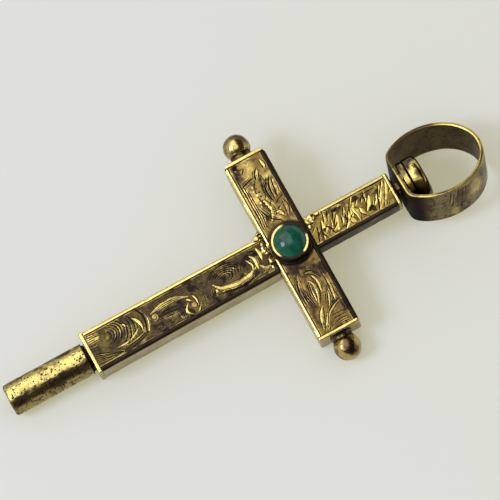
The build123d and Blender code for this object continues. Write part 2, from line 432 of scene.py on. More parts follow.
class Plate:
    """An engraved plate as a grid of heights; s runs along it and t across it, in millimetres. Light is
    the direction that the light comes from, in s and t, by which strokes get painted highlight and painted
    shade, and bold scales the width of its strokes."""

    def __init__(self, start, length, near_half, far_half, cell, seed, light=(-0.45, 0.9), bold=1.0):
        along = np.linspace(start, start + length, round(length / cell) + 1)
        shares = np.linspace(-1, 1, round(2 * near_half / cell) + 1)
        half = (near_half + (far_half - near_half) * (along - start) / length)[:, None]
        self.s = np.repeat(along[:, None], len(shares), 1)
        self.t = half * shares
        self.height, self.gild, self.dirt, self.warm = np.zeros((4, *self.s.shape))
        self.seed, self.light, self.bold = seed, light, bold
        ends = np.minimum(self.s - start, start + length - self.s)
        self.border = np.minimum(half - abs(self.t), ends)
        spots = self.spots()
        # an unsteady hand: how far its strokes stray, and how strongly they show
        self.waver = np.stack([ripple(spots, 0.9, seed + k) for k in (20, 21)], -1) * 0.07
        self.broken = 0.85 + 0.35 * ripple(spots, 0.5, seed + 22)

    def spots(self):
        return np.stack([self.s, self.t, np.full_like(self.s, self.seed * 0.37)], -1)

    def tools(self):
        return self.cut, self.leaf, self.line, self.dot, self.shade, self.hatch

    def lift(self, near, **layers):
        """Raises the named layers to new values, where those are higher."""
        for name, values in layers.items():
            layer = getattr(self, name)
            layer[near] = np.maximum(layer[near], values)

    def measure(self, points, reach):
        """The grid's points near a curve: their places, shares along it, distances to its left, and how
        squarely its left side faces the light."""
        path = smooth_path(points)
        low, high = path.min(0) - reach, path.max(0) + reach
        near = (self.s >= low[0]) & (self.s <= high[0]) & (self.t >= low[1]) & (self.t <= high[1])
        spots = np.stack([self.s[near], self.t[near]], 1) + self.waver[near]
        gaps = ((spots[:, None] - path[None]) ** 2).sum(2)
        nearest = gaps.argmin(1)
        away = spots - path[nearest]
        left = left_of(path)
        off = np.copysign(np.hypot(*away.T), (left[nearest] * away).sum(1))
        facing = np.clip(1.5 * (left @ self.light), -1, 1)
        return near, nearest / (len(path) - 1), off, facing[nearest]

    def cut(self, points, width=0.2, depth=0.07, gild=1.0, dirt=0.75, echoes=0, blunt=0.15):
        """A swelling stroke of the graver. Its deepest line lies towards the light, so that its other side
        is a broad facet that catches the light; that facet is also painted gold as painted highlight, and the
        narrow side painted dark as painted shade. Echoes are hairlines that follow it, on both sides, and
        blunt is the width of its ends beside that of its middle."""
        width = self.bold * width
        near, share, off, facing = self.measure(points, width)
        swell = blunt + (1 - blunt) * np.sin(np.pi * share) ** 0.7
        across = off / (width / 2 * swell)
        lean = 0.55    # how far the deepest line lies from the middle, of the half width
        keel = lean * facing
        fall = np.where(across < keel, (across + 1) / (1 + keel), (1 - across) / (1 - keel))
        fall = unit(fall)
        self.height[near] -= depth * swell * fall * self.broken[near]
        inside = abs(across) < 1
        # painted highlight on the broad facet, more where it faces the light squarely, and painted shade on
        # the narrow side
        lit = inside & ((across - keel) * facing < 0)
        bright = gild * lit * unit(fall * 3) * (0.35 + 0.65 * abs(facing)) * self.broken[near]
        self.dirt[near] *= 1 - 0.8 * gild * lit
        self.lift(near, gild=bright, dirt=dirt * (inside & ~lit))
        for k in range(echoes):
            beside = width / 2 + 0.13 * (k + 0.5)
            self.follow(points, (-beside, beside))

    def follow(self, points, offsets):
        """Hairlines beside a curve, nearer to it at its ends."""
        path = smooth_path(points)
        bulge = np.sin(np.pi * np.linspace(0, 1, len(path)))[:, None] ** 0.5
        for offset in offsets:
            if len(path) > 12:
                self.cut((path + offset * bulge * left_of(path))[4:-4:6], 0.1, 0.045, gild=0.7, dirt=0.8)

    def line(self, points, width=0.11, depth=0.04, dirt=0.8):
        """A thin dark line."""
        near, share, off, _ = self.measure(points, width)
        inside = unit(1 - abs(off) / (width / 2)) * (0.4 + 0.6 * np.sin(np.pi * share) ** 0.5)
        self.height[near] -= depth * inside
        self.lift(near, dirt=dirt * unit(inside * 2) * self.broken[near])

    def leaf(self, points, width, gild=0.5, rise=0.03, tilt=0.0, dirt=0.0, rim=0.5, veins=0):
        """A rounded pad along a curve, raised or, with a negative rise, let in, with a dark rim and fine
        cuts that follow it from end to end."""
        near, share, off, _ = self.measure(points, width)
        swell = 0.1 + 0.9 * np.sin(np.pi * share) ** 0.8
        half = width / 2 * swell
        across = off / half
        inside = unit(1 - across**2) ** 0.5
        self.height[near] += swell * inside * (rise + tilt * across)
        outline = np.exp(-((abs(off) - half) / 0.045) ** 2) * (swell > 0.25)
        self.height[near] -= 0.015 * outline
        pad = ramp(inside, 0.1, 0.8)
        self.gild[near] *= 1 - pad
        self.dirt[near] *= 1 - pad
        self.lift(near, gild=gild * pad, dirt=np.maximum(dirt * pad, rim * outline))
        self.follow(points, np.linspace(-0.3, 0.3, veins) * width)

    def dot(self, s, t, radius, depth=0.04, gild=0.0, dirt=0.0, warm=0.0):
        """A round punch mark, or with a negative depth a bead."""
        gap = np.hypot(self.s - s, self.t - t) / radius
        bowl = unit(1 - gap**2)
        self.height -= depth * bowl
        inside = unit(bowl * 2)
        self.gild *= 1 - inside
        self.dirt *= 1 - inside
        self.lift(EVERYWHERE, gild=gild * inside, dirt=dirt * inside, warm=warm * inside)

    def shade(self, points, width, dirt=0.0, gild=0.0, warm=0.0):
        """A soft dark or bright patch that leaves the height alone; it makes stains, and in places painted
        shade and painted highlight.
        """
        near, _, off, _ = self.measure(points, width)
        soft = unit(1.2 * (1 - (off / (width / 2)) ** 2))
        broken = 0.7 + 0.6 * ripple(self.spots()[near], 0.3, self.seed + 5)
        bright, dark = (np.minimum(most * soft * broken, 1) for most in (gild, dirt))
        self.lift(near, gild=bright, dirt=dark, warm=warm * soft)

    def hatch(self, first, second, reach, count, width=0.1, depth=0.05, gild=0.7):
        """Fine parallel strokes: each starts on the line from first to second and runs by reach."""
        dice = np.random.default_rng(self.seed + count)
        for share in np.linspace(0, 1, count):
            start = np.add(first, np.subtract(second, first) * share) + dice.normal(0, 0.03, 2)
            end = start + np.multiply(reach, dice.uniform(0.7, 1.1))
            bend = (start + end) / 2 + dice.normal(0, 0.03, 2)
            self.cut([start, bend, end], width, depth, gild=gild, dirt=0.8)

    def age(self, pitting=0.03, stain=0.5, seam=1.0):
        """Wear, stains, pits and the grime along the seams, over the whole plate."""
        spots = self.spots()
        pits = unit(ripple(spots, 0.16, self.seed + 1) - 0.5)
        worn = ripple(spots, 1.1, self.seed + 2)
        waves = ripple(spots, 0.55, self.seed + 7)
        lines = ripple(spots * [0.25, 2.5, 1], 0.2, self.seed + 3)
        self.height -= pitting * pits + 0.004 * (lines + 1) + 0.012 * (worn + 1) + 0.018 * (waves + 1)
        self.lift(EVERYWHERE, dirt=np.clip(pits * 1.8, 0, 0.8) * (1 - 0.6 * self.gild))
        clouds = ripple(spots, 0.8, self.seed + 8) + 0.5 * ripple(spots, 0.25, self.seed + 9)
        self.lift(EVERYWHERE, dirt=stain * ramp(clouds, -0.25, 0.8) * (1 - 0.7 * self.gild))
        self.lift(EVERYWHERE, gild=0.3 * ramp(waves + 0.5 * worn, 0.3, 0.9))
        self.gild *= unit(0.85 + 0.4 * worn)
        edge = seam * np.exp(-(self.border / 0.05) ** 2)
        self.height -= 0.02 * edge
        self.lift(EVERYWHERE, dirt=edge * 0.9)
        self.gild *= 1 - edge

    def piece(self, name, node, place, slot, across_first=False):
        """The plate as a closed mesh in the key's frame; place turns s, t and height into x, y and z."""
        rows, columns = self.s.shape
        bottom = node_box(node)[0][2]
        top = np.stack(place(self.s, self.t, self.height), -1).reshape(-1, 3)
        under = top.reshape(rows, columns, 3)[:, [0, -1]].copy()
        under[..., 2] = bottom
        index = np.arange(rows * columns).reshape(rows, columns)
        below = rows * columns + np.arange(rows * 2).reshape(rows, 2)
        faces = [*quads(index), *quads(below[:, ::-1])]
        faces += quads(np.stack([below[:, 0], index[:, 0]], 1))
        faces += quads(np.stack([index[:, -1], below[:, 1]], 1))
        faces.append([*index[0, ::-1], below[0, 0], below[0, 1]])
        faces.append([*index[-1], below[-1, 1], below[-1, 0]])
        if across_first:
            faces = [face[::-1] for face in faces]
        mesh = build_mesh(name, np.vstack([top, under.reshape(-1, 3)]), faces)
        for layer in ("gild", "dirt", "warm"):
            paint(mesh, layer, np.append(getattr(self, layer), np.zeros(rows * 2)))
        paint_relief(mesh, rounds=10, full=0.014)
        as_piece(name, mesh, slot, [node], sharp=75)


def quads(index):
    """The faces between neighbouring rows and columns of a grid of point numbers."""
    corners = np.stack([index[:-1, :-1], index[1:, :-1], index[1:, 1:], index[:-1, 1:]], -1)
    return corners.reshape(-1, 4).tolist()


def engrave_lower_arm():
    """The long arm's face: scrolls, a flower and long leaves, from the pipe's end to the cross bar."""
    (start, _, _), (end, _, top) = node_box("lower_arm_face")
    halves = [half_width("lower_arm_face", x) for x in (start, end)]
    plate = Plate(0, end - start, *halves, 0.04, 11)
    cut, leaf, line, dot, shade, hatch = plate.tools()

    shade([(5.9, 1.35), (8.5, 1.3), (12, 1.2)], 0.7, 0.55)
    shade([(8, -1.2), (9.5, -1.3)], 0.9, 0.3)
    shade([(0, 1.1), (0.9, 1.2)], 1.1, gild=1)
    for t, reach in ((1.55, 1.3), (1.36, 1), (1.18, 1.5), (0.98, 0.9), (0.78, 1.2), (0.45, 0.7)):
        cut([(0, t), (reach / 2, t - 0.02), (reach, t - 0.08)], 0.16, 0.06)
    for t, far in ((-0.4, 1), (-0.62, 0.95), (-0.84, 1.1), (-1.04, 1), (-1.22, 1.2), (-1.42, 1.4)):
        cut([(0, t), (far, t * 0.8 - 0.35), (2.75, -1.52)], 0.17, 0.06, 0.3, 0.9, blunt=0.4)

    shell = (1.9, 0.62)
    dot(*shell, 0.24, 0.03, warm=0.6, gild=0.1)
    for radius, first, turn, width, gild in (
        (0.5, 70, -190, 0.17, 0.4), (0.82, 75, -150, 0.17, 0.9), (1.05, 60, -160, 0.14, 0.3),
        (1.3, 75, -120, 0.2, 0.9), (1.58, 55, -125, 0.18, 0.3), (1.85, 62, -100, 0.16, 0.7),
        (2.15, 35, -95, 0.22, 0.3), (2.5, 25, -80, 0.2, 0.6), (2.85, 28, -60, 0.16, 0.5),
    ):
        cut(spiral(shell, radius, radius * 1.08, first, turn), width, 0.07, gild, 0.85)
    leaf([(2.2, -0.85), (3.2, -0.92), (4.3, -0.62), (5.1, -0.1)], 0.42, rise=0.025, tilt=0.02, veins=2)
    leaf([(3.6, 1.05), (3.9, 0.78), (4.2, 0.5)], 0.26, 0.9, tilt=0.02)
    leaf([(4.75, 1.1), (5.2, 0.6), (5.4, 0), (5.3, -0.5)], 0.34, 1, tilt=0.02, rim=0.8)
    line([(4.75, 0.8), (5.02, 0.35), (5.05, -0.15)], 0.14)
    leaf([(2.7, -1.6), (3.7, -1.42), (4.8, -1.15), (5.9, -0.78)], 0.5, 0.05, rise=-0.05, dirt=0.75, veins=2)
    cut([(3.3, -1.08), (4.4, -0.9), (5.4, -0.62)], 0.16, 0.05, 0.7)
    line([(5.62, 1.55), (5.98, 0.8), (5.88, 0), (5.62, -0.8)], 0.24, 0.08, 1)
    cut([(6, 1.35), (6.15, 0.5), (6, -0.3), (5.75, -0.95)], 0.2, 0.06, 1, 0.2, echoes=1)
    hatch((6.3, -0.7), (6.9, -1.5), (0.5, 0.05), 6, gild=0.3)

    dot(6.9, 0.02, 0.38, -0.025, gild=0.6)
    cut(spiral((6.9, 0.02), 0.36, 0.08, 100, 420, 0.95, 24), 0.12, 0.05, 0.8)
    leaf([(6.6, 0.5), (8, 0.72), (9.3, 0.75), (10.6, 0.3)], 0.62, 0.6, tilt=0.02, veins=3)
    for t in (1.02, 1.22, 1.42):
        line([(6.2 + t / 2, t - 0.1), (8, t), (9.6, t + 0.03), (11.4, t - 0.05)], 0.1, 0.03, 0.6)
    leaf([(7.2, -0.12), (8.4, -0.18), (9.4, -0.26), (10.2, -0.1)], 0.55, 0.05, rise=-0.05, dirt=0.85,
         veins=2)
    cut([(7.1, -0.45), (8.2, -0.6), (9.4, -0.66), (10.1, -0.55)], 0.18, 0.06, 0.6, echoes=1)
    cut([(9.05, -0.8), (9.12, -1.2), (9.2, -1.55)], echoes=1)
    cut([(8.4, -0.62), (8.6, -0.7), (8.8, -0.8)], 0.16, 0.05)
    for s, t, radius, first in ((7.6, -1.15, 0.36, 110), (8.35, -1.2, 0.32, 80), (7, -1.2, 0.26, 140)):
        cut(spiral((s, t), radius, 0.08, first, 330, 0.9), 0.13, 0.04, 0.5)
    hatch((9.4, -0.95), (9.8, -1), (-0.1, -0.55), 4, gild=0.4)

    flower = (10.8, -0.75)
    dot(*flower, 0.3, -0.02, gild=0.4, warm=0.6)
    leaf([(10.35, -0.25), (9.98, -0.75), (10, -1.2), (10.45, -1.62)], 0.32, 1, tilt=0.03)
    leaf([(10.25, 0.1), (10.5, -0.05), (10.75, -0.3)], 0.26, 0.95)
    leaf([(10.95, 0.25), (11.22, -0.25), (11.2, -0.9)], 0.26, 0.95, tilt=-0.02)
    leaf([(10.75, -1.6), (11.1, -1.35), (11.35, -1)], 0.26, rise=0.02)
    for radius in (0.34, 0.5):
        cut(spiral(flower, radius, radius, 150, 150, 0.95), 0.12, 0.04, 0.7)
    hatch((11.35, -0.6), (12, -1.05), (-0.4, -0.55), 7)
    cut([(11.4, 1.05), (11.7, 0.68), (11.95, 0.22)], 0.26, 0.08, echoes=1)
    cut([(12, -0.05), (12.1, -0.4), (12, -0.9)], 0.16, 0.05, 0.7)
    cut([(10.9, 1.1), (11.3, 0.7), (11.5, 0.25)], 0.18, 0.05, 0.4, echoes=1)
    hatch((12.3, -0.1), (13.3, -0.45), (-0.12, -0.6), 9, 0.11)
    dot(13.35, -0.62, 0.15, -0.02, gild=1)

    scroll = (14.75, 0.12)
    shade([(12.9, 0.3), (13.9, 0.8), (15.4, 0.85), (16.6, 0.3)], 1, 0.5)
    for radius, first, turn, width, gild in (
        (2, 175, -190, 0.2, 0.35), (1.72, 170, -190, 0.16, 0.6), (1.42, 165, -190, 0.2, 0.3),
        (1.1, 160, -200, 0.16, 0.6), (0.78, 150, -230, 0.2, 0.4), (0.45, 130, -260, 0.16, 0.8),
    ):
        cut(spiral(scroll, radius, radius * 0.96, first, turn, 0.62), width, 0.06, gild, 0.85)
    hatch((14.7, 1), (16.3, 0.6), (-0.2, -0.5), 7, 0.13, 0.05, 0.8)
    leaf([(13.2, 0.1), (13.9, -0.65), (15.2, -0.98), (16.6, -0.92), (17.7, -0.4)], 0.66, 0.85, rise=0.04,
         tilt=0.02, veins=2)
    shade([(15.6, -0.75), (16.4, -0.6)], 0.6, warm=0.5)
    cut([(13.6, -0.85), (13.8, -0.92), (14, -0.95)], 0.22, 0.05, 1, 0, echoes=1)
    line([(13.7, -1.02), (15.1, -1.4), (16.1, -1.48), (17.5, -1.15)], 0.24, 0.07, 0.9)
    shade([(17, 0.3), (16.95, -0.2)], 0.5, 0.8)
    leaf([(17.1, 0.7), (17.5, 0), (17.3, -0.75)], 0.24, 1, rim=0.6)
    leaf([(17.6, 0.9), (17.95, 0.3), (17.85, -0.7)], 0.5, 0.85, veins=2)
    line([(17.7, 1.25), (18.15, 1.1), (18.35, 0.5)], 0.2, 0.06)
    leaf([(18.5, 1.3), (18.7, 0.6), (18.55, -0.1)], 0.42, 1, rise=0.035, rim=0.3)
    leaf([(18.1, -0.4), (18.5, -0.9), (19.1, -0.9)], 0.45, rise=0.02, veins=1)
    hatch((16.9, -1.3), (19, -1.4), (0.35, 0.3), 13)
    hatch((12.6, -0.9), (16.4, -1.5), (0.3, -0.12), 12, gild=0.4)
    line([(2.9, -1.56), (9, -1.55), (15, -1.5), (19.4, -1.47)], 0.1, 0.03, 0.7)
    # painted shade along the edge of the face away from the light
    shade([(3.2, -1.62), (8, -1.6), (14, -1.6), (19.6, -1.55)], 0.5, 0.6)
    shade([(5.8, 1.5), (9, 1.52), (13, 1.5), (17, 1.4)], 0.6, 0.5)
    shade([(5.9, 0.2), (6.4, 1.1), (8, 1.3)], 0.8, 0.75)
    shade([(8.4, -0.05), (9.2, 0.1), (10, 0.2)], 0.5, 0.8)
    shade([(11.6, 1.2), (12.4, 0.4), (12.5, -0.6)], 1.2, 0.75)
    shade([(13.2, 1.2), (14.6, 0.9), (16.4, 1.1)], 0.9, 0.8)
    shade([(14, 0.3), (15, 0), (16.2, 0.2)], 0.7, 0.75)
    shade([(14, -1.4), (16.6, -1.35)], 0.5, 0.75)
    shade([(2.4, -0.6), (3.6, -0.7)], 0.4, 0.7)
    plate.age(stain=0.74 + 0.16 * ramp(plate.s, 5, 8))
    plate.piece("lower_arm_engraving", "lower_arm_face",
                lambda s, t, height: (start + s, t, top + height), "engraved_gilt")


def engrave_crossbar():
    """The cross bar's face: a spiral leaf above the stone, and a scroll with hatching below it."""
    low, high = node_box("crossbar_face")
    middle = (low + high) / 2
    reach = high[1]
    half = high[0] - middle[0]
    plate = Plate(-reach, 2 * reach, half, half, 0.04, 23, light=(0.9, -0.45), bold=1.35)
    cut, leaf, line, dot, shade, hatch = plate.tools()

    leaf([(4.2, 0), (6, 0.15), (7.6, 0.5)], 1.3, 0.45, rim=0.6)
    hatch((4.9, -0.1), (7.2, 0.5), (0.55, 0.35), 9, 0.07, 0.03, 0.5)
    shade([(7.9, -1.3), (9, -1.2)], 1.1, 1)
    leaf([(8.9, -1.4), (8.5, -0.9), (8.8, -0.5)], 0.4, 0.3, rim=1)
    shade([(3, 0.2), (4.4, 0.2), (5.6, -0.2)], 1.2, gild=0.6)
    dot(8.5, -1.15, 0.3, dirt=0.7)
    cut([(7.1, 0.05), (7.5, 0.25), (8.15, 0.65)], 0.34, 0.09, echoes=1)
    cut([(7, -1.5), (7.15, -0.9), (7.4, -0.1)], 0.3, 0.09, 0.1, 0.95, echoes=1)
    leaf([(7.8, 1.35), (8.2, 1.42), (8.75, 1.3)], 0.32, 1, tilt=0.03)
    shade([(7.9, 0.6), (8.6, 0.9)], 0.9, 0.45, warm=0.2)
    for first, middle_spot, last, bright in (
        ((4.5, 0.6), (5.7, 0.55), (6.9, 1.1), 0.5),
        ((4.6, 0.85), (5.8, 0.95), (6.95, 1.4), 1),
        ((4.7, 1.15), (5.6, 1.35), (6.6, 1.5), 0.9),
    ):
        cut([first, middle_spot, last], 0.34, 0.09, bright, 0.9, echoes=1)
    line([(4.15, 0.6), (4.45, 1.1), (4.6, 1.7)], 0.13)
    for along in (4.5, 4.85, 5.25, 5.7, 6.15, 6.6):
        dot(along, -0.62 + 0.05 * math.sin(7 * along), 0.17, -0.03, gild=0.95)
        dot(along + 0.18, -0.28 + 0.06 * math.sin(9 * along), 0.1, 0.03, dirt=0.6)
    cut([(5, -0.95), (3.9, -0.82), (3.1, -0.45), (2.3, 0.5)], 0.26, 0.08, echoes=1)
    cut([(4.6, -0.2), (3.7, -0.1), (3.4, 0.5), (3.9, 1.2)], 0.2, 0.06, 0.6, echoes=1)
    dot(3.95, 0.15, 0.2, -0.03, gild=1)
    line([(3.5, 0.5), (3.7, 0.85)], 0.13)
    for across, first, last in ((-1.5, 8, 2.4), (-1.28, 7, 2.6), (-1.08, 6.4, 2.5)):
        cut([(first, across), ((first + last) / 2, across + 0.05), (last, across - 0.03)], 0.15, 0.07, 0.35,
            0.95, blunt=0.6)
    leaf([(2.5, 1.2), (3.4, 1.45), (4.2, 1.4)], 0.5, veins=1)
    leaf([(2.6, -0.6), (3.3, -0.1), (4.3, 0), (5.2, -0.3)], 0.6, 0.6, rim=0.7, veins=2)
    leaf([(2.7, 0.9), (3.2, 0.6), (3.5, 0.2)], 0.4, 0.7, rim=0.6)
    shade([(4.5, 0.9), (5.6, 1), (6.8, 1.4)], 1.3, 0.55)
    shade([(4.4, -1.2), (6, -1), (7.4, -0.6)], 0.8, 0.45)
    shade([(2.6, 1.3), (3.8, 1.3)], 0.6, 0.5)

    leaf([(-3.3, -1), (-4.4, -1.35), (-6, -1.4)], 0.5, rim=0.7, veins=2)
    cut([(-6.2, -1.45), (-4.4, -1.5), (-3.2, -1.1), (-2.9, -0.7)], 0.22, 0.06, 0.7, echoes=1)
    leaf([(-4.6, -1.1), (-5.6, -1.05), (-6.8, -0.85)], 0.7, 0, rise=-0.03, dirt=0.7, veins=3)
    cut([(-3.2, -0.5), (-3.4, 0.4), (-4.3, 1)], 0.3, 0.08, 0.7, echoes=1)
    leaf([(-4, -0.4), (-4.6, 0), (-5.6, -0.05), (-6.7, -0.5)], 0.42, 0.8, tilt=0.03)
    cut([(-4.1, -0.3), (-4.9, -0.45), (-6.4, -0.55)], 0.18, 0.06, 0.9, echoes=1)
    leaf([(-3.6, 0.2), (-4.6, 0.55), (-5.6, 0.3)], 0.5, 0.6, rim=0.7, veins=2)
    cut([(-4.8, 1.3), (-5.8, 1.25), (-7, 1.05)], 0.28, 0.08, echoes=1)
    cut([(-5.6, 0.95), (-6.5, 0.6), (-7.4, 0.15)], 0.24, 0.07, 0.8, echoes=1)
    cut([(-7, 1.6), (-7.35, 0.7), (-7.75, 0.1), (-8.4, -0.45)], 0.26, 0.08, 0.95, echoes=1)
    leaf([(-6.9, -0.3), (-7.8, -0.75), (-8.9, -1.2)], 0.5, 1, rise=0.035, tilt=0.03)
    cut([(-7.6, -0.1), (-8.2, -0.5), (-9, -1.05)], gild=0.95, echoes=1)
    shade([(-7, -1.2), (-8.4, -1.3)], 0.9, 0.7)
    shade([(-3, 0.8), (-4.2, 1.5), (-5.4, 1.2)], 0.9, 0.6)
    shade([(-5.4, -0.8), (-6.6, -1.1)], 0.8, 0.6)
    shade([(-2.1, -1.3), (-2.7, 0.3), (-3.1, 0.7), (-2.5, 1.4)], 0.9, 0.75)
    shade([(2.3, -1), (2.5, 0), (2.4, 0.9)], 0.5, 0.5)
    shade([(-6.6, 0.5), (-7.6, 0.9), (-9, 0.4)], 0.9, 0.4)
    shade([(-8, 0.8), (-8.3, 1.2)], 0.9, 0.4)
    for along in (-8.2, -8.55, -8.9, -9.12, -9.3):
        cut([(along, 0), (along + 0.04, 0.8), (along - 0.04, 1.6)], 0.12, 0.05, 0.6)
    hatch((-8.6, -1.1), (-8.9, -0.2), (-0.45, -0.35), 7, 0.09, 0.04)
    hatch((-3.2, 1.1), (-7.4, 1.55), (-0.7, 0.12), 9, 0.09, 0.04, 0.3)

    base = 0.06 + 0.22 * (plate.s > 0)
    plate.lift(EVERYWHERE, gild=base + 0.35 * ramp(ripple(plate.spots(), 1.1, 29), -0.3, 0.6))
    plate.lift(EVERYWHERE, warm=0.36 * (1 - 0.7 * plate.gild))
    shade([(4.9, -1.5), (5.8, -1.2), (6.8, -1)], 0.9, 0.5)
    shade([(8.2, 0.9), (7.2, 0.5), (5.8, 0.3), (4.6, 0.6)], 0.5, 0.7)
    shade([(8.9, 1), (9.2, -0.2)], 0.5, 0.6)
    shade([(2.6, -1), (3.6, -0.6), (4.6, -0.5)], 0.5, 0.65)
    shade([(-3, -0.2), (-4.4, -0.7), (-6, -0.75)], 0.5, 0.65)
    shade([(-4, 1.1), (-5.4, 0.85), (-6.6, 0.9)], 0.4, 0.65)
    shade([(-7.4, 0.6), (-8.2, 0.2), (-8.8, -0.4)], 0.5, 0.6)
    shade([(-4.6, 1.6), (-6.5, 1.55), (-8.5, 1.4)], 0.6, 0.5)
    plate.age(stain=0.6 + 0.25 * (plate.s < 0))
    seat = node_box("collet_foot")
    seat_radius = (seat[1][0] - seat[0][0]) / 2
    under_collet = np.hypot(plate.s, plate.t) < seat_radius
    plate.height[under_collet] = -0.01
    # painted shadow: a dark ring on the face around the collet's foot, with no gold in it
    around = unit(1 - (np.hypot(plate.s, plate.t) - seat_radius) / 0.35)
    plate.lift(EVERYWHERE, dirt=around * 0.9)
    plate.gild *= 1 - around
    plate.piece("crossbar_engraving", "crossbar_face",
                lambda s, t, height: (middle[0] + t, s, high[2] + height), "engraved_gilt", across_first=True)


def engrave_upper_arm():
    """The short arm's face: broad bright cuts that lean all one way, with dark leaves between."""
    (start, _, _), (end, half, top) = node_box("upper_arm_face")
    plate = Plate(0, end - start, half, half, 0.03, 37)
    cut, leaf, line, dot, shade, hatch = plate.tools()
    dice = np.random.default_rng(139)
    for along in np.linspace(0.3, 8.6, 16):
        first = (along + 0.35, dice.uniform(-0.2, 1.2))
        last = (along - dice.uniform(0.1, 0.5), first[1] - dice.uniform(0.5, 1.2))
        cut([first, (along + 0.1, (first[1] + last[1]) / 2), last], dice.uniform(0.2, 0.36), 0.07,
            dice.uniform(0.6, 1), 0.5)
    for first, last, width, bright in (
        ((1.45, 0.6), (0.85, -1.25), 0.42, 0.9), ((0.9, 0.3), (0.3, -1.25), 0.3, 0.5),
        ((1.9, 1.1), (1.5, 0.1), 0.3, 0.5), ((2.4, 1.2), (1.9, 0.2), 0.26, 0.45),
        ((2.9, 1), (2.4, -0.2), 0.26, 0.5), ((3, 0.35), (2.35, -0.6), 0.45, 0.8),
        ((3.35, 0.1), (3.1, -0.7), 0.24, 0.9), ((3.8, 0.2), (3.55, -0.8), 0.26, 0.8),
        ((4.25, 0.2), (3.2, -1.25), 0.36, 1), ((5, 1.2), (4.2, -0.3), 0.5, 0.9),
        ((6.3, 1.2), (5.85, 0.2), 0.3, 0.6), ((6.1, 0.7), (5.95, -0.1), 0.28, 0.9),
        ((6.55, 0.6), (5.7, -0.8), 0.46, 1), ((7.3, 0), (6.9, -1.2), 0.24, 0.3),
        ((8.35, 1.25), (7.4, -0.2), 0.34, 0.8), ((7.85, 1), (6.95, -1.25), 0.42, 1),
        ((8.65, 1.2), (7.45, -1.25), 0.34, 0.9),
    ):
        belly = ((first[0] + last[0]) / 2 + 0.08, (first[1] + last[1]) / 2)
        cut([first, belly, last], width * 1.15, 0.1, bright, 0.6)
    cut([(0.9, -0.2), (1.1, -0.8), (1.3, -1.3)], 0.22, 0.08)
    cut([(1.55, -0.1), (2, -0.7), (2.2, -1.2)], 0.3, 0.09)
    leaf([(4.55, 0.3), (4.9, -0.4), (4.8, -1.25)], 0.55, 1, tilt=-0.04, rim=0.6)
    leaf([(4, -0.4), (4.2, -0.9), (4.5, -1.25)], 0.5, rise=0.02)
    leaf([(5.2, -0.1), (5.4, -0.6), (5.65, -1.1)], 0.5, 1, tilt=-0.03, rim=0.8)
    dot(2.6, -0.95, 0.2, -0.03, gild=1)
    dot(3.6, 1, 0.28, -0.02, gild=0.6)
    leaf([(2.7, 0.95), (3.3, 0.8), (3.9, 0.95)], 0.36, 0, rise=-0.04, dirt=0.8)
    leaf([(4.9, 0.7), (5.3, 0.9), (5.7, 0.75)], 0.5, 0, rise=-0.04, dirt=0.8)
    leaf([(6, -0.95), (6.4, -0.7), (6.6, -1.2)], 0.5, 0, rise=-0.04, dirt=0.8)
    line([(6.2, 0.98), (6.9, 0.95), (7.4, 0.95)], 0.14)
    shade([(2.6, -0.3), (2.4, -0.55)], 0.5, warm=0.7)
    shade([(8, -0.3), (8.3, -0.9)], 1, 0.45, warm=0.2)
    hatch((7.9, -0.6), (8.1, -1), (-0.2, -0.4), 4, 0.1, 0.04, 0.5)
    shade([(2.3, -1), (3.2, -0.95)], 0.45, 0.8)
    line([(2.6, 1.38), (4.5, 1.3), (6, 1.36), (7.4, 1.28), (8.9, 1.38)], 0.16, 0.05, 0.9)
    # painted shade along the lower edge, and painted highlight along the upper edge towards the light
    shade([(0.2, -1.4), (4.5, -1.42), (8.8, -1.4)], 0.3, 0.7)
    shade([(0.6, 1.55), (4, 1.5), (8.8, 1.55)], 0.4, gild=0.6)
    for s, t, length in (
        (0.8, -0.6, 0.5), (2.2, 0.9, 0.6), (3.4, -0.3, 0.4), (5.4, 0.5, 0.5), (6.9, 0.3, 0.6),
    ):
        shade([(s, t), (s + length, t + 0.3)], 0.5, 0.75)
    plate.lift(EVERYWHERE, warm=0.22 * (1 - 0.6 * plate.gild))
    plate.age(0.02, stain=0.55, seam=0.3)
    plate.piece("upper_arm_bright_cuts", "upper_arm_face",
                lambda s, t, height: (start + s, t, top + height), "bright_cut_gilt")


# Worn pieces


def rim_wear(node, across, seed, fall):
    """A box's rims, worn down towards their outer edges, with small dents along them; across is the axis
    that the box is measured over, and fall how far the outer edge has gone down."""
    wall = 0.42
    low, high = node_box(node)
    middle = (low + high) / 2
    near_half, far_half = [half_width(node, x) if across else high[0] - middle[0] for x in (low[0], high[0])]

    def wear(points):
        share = (points[:, 1 - across] - low[1 - across]) / (high - low)[1 - across]
        inward = near_half + (far_half - near_half) * share - abs(points[:, across] - middle[across])
        on_rim = ramp(points[:, 2], high[2] - 0.3, high[2] - 0.05)
        slope = fall * unit(1 - inward / wall) * on_rim
        dents = 0.07 * unit(ripple(points, 0.9, seed + 3) - 0.5)
        return slope + dents + soft_wear(0.012, 1.5, seed)(points)
    return wear


def rim_gild(node, share, axis=0, sign=0):
    """Bright along the rims, from wear, and dull on the walls and the back. With a sign, the rim on that side
    of the middle is the brighter one, along the axis: a painted highlight on the side the light falls on."""
    low, high = node_box(node)

    def gild(points):
        on_rim = share * ramp(points[:, 2], high[2] - 0.4, high[2] - 0.1)
        on_rim *= 0.9 + 0.2 * ripple(points, 0.7, 31) + 0.2 * ripple(points, 0.25, 33)
        # painted highlight: the rims on the side away from the light are dimmed
        if sign:
            aside = sign * (points[:, axis] - (low + high)[axis] / 2)
            on_rim *= np.where(aside > 0, 1, 0.15)
        return on_rim
    return gild


